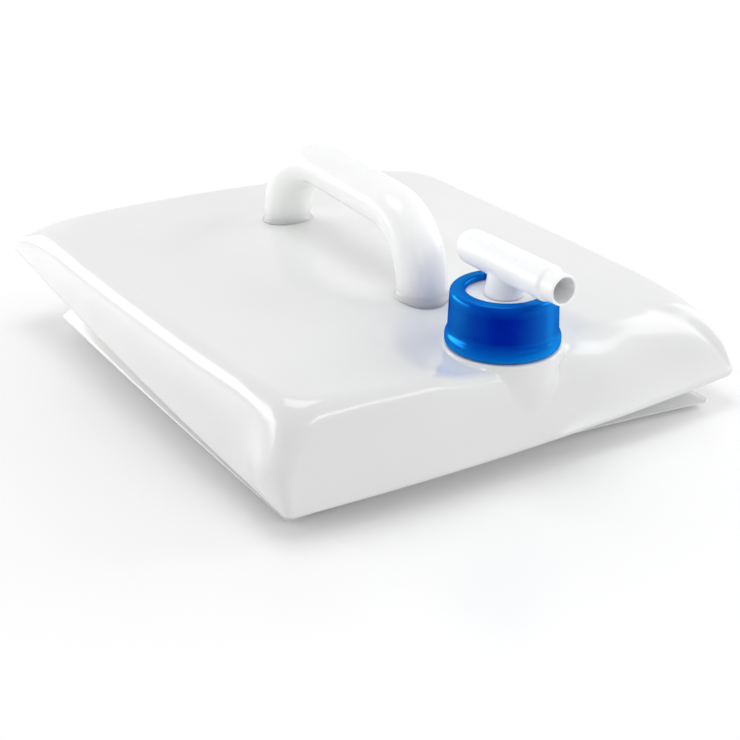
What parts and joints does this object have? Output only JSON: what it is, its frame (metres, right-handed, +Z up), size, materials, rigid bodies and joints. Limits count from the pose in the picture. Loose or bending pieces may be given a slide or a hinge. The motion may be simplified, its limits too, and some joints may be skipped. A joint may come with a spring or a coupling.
{
  "type": "collapsible water cube",
  "caption": "Soft translucent square water container, folded flat, with an arched carrying handle and a blue screw cap that holds a turning spout tap.",
  "frame": {"origin": "middle of the flat underside that the container stands on", "axes": "+Z up, -Y towards the neck side and the spout's mouth, +X to the right of someone who faces the neck side"},
  "size_m": [0.2556, 0.2984, 0.1088],
  "materials": {
    "milky_base": "semi-gloss translucent film",
    "milky_walls": "semi-gloss translucent film",
    "milky_top": "semi-gloss translucent film",
    "milky_neck": "semi-gloss translucent",
    "milky_handle": "gloss translucent",
    "blue_cap": "gloss, slightly translucent",
    "pale_rubber": "matte",
    "white_flange": "satin",
    "white_spout": "satin",
    "dark_rubber": "matte"
  },
  "bodies": {
    "base": {"container_base": "milky_base", "container_walls": "milky_walls"},
    "top": {"container_top": "milky_top", "neck": "milky_neck", "handle": "milky_handle"},
    "tap": {"gasket": "pale_rubber", "tap_flange": "white_flange"},
    "cap": {"cap_ring": "blue_cap"},
    "spout": {"spout": "white_spout", "stem_o_ring": "dark_rubber"}
  },
  "joints": [
    {"name": "unfold", "type": "slide", "parent": "base", "child": "top", "axis": [0, 0, 1], "range_m": [0, 0.17], "deforming": ["container_walls"]},
    {"name": "cap_lift", "type": "slide", "parent": "top", "child": "tap", "axis": [0, 0, 1], "range_m": [0, 0.0122]},
    {"name": "cap_turn", "type": "hinge", "parent": "tap", "child": "cap", "pos_m": [0.0063, -0.1034, 0.066], "axis": [0, 0, 1], "range_deg": [0, 1080]},
    {"name": "spout_turn", "type": "hinge", "parent": "tap", "child": "spout", "pos_m": [0.0063, -0.1034, 0.076], "axis": [0, 0, 1], "range_deg": [-90, 90]}
  ],
  "couplings": [
    {"joint": "cap_lift", "follows": "cap_turn", "m_per_rad": 0.00063662}
  ]
}
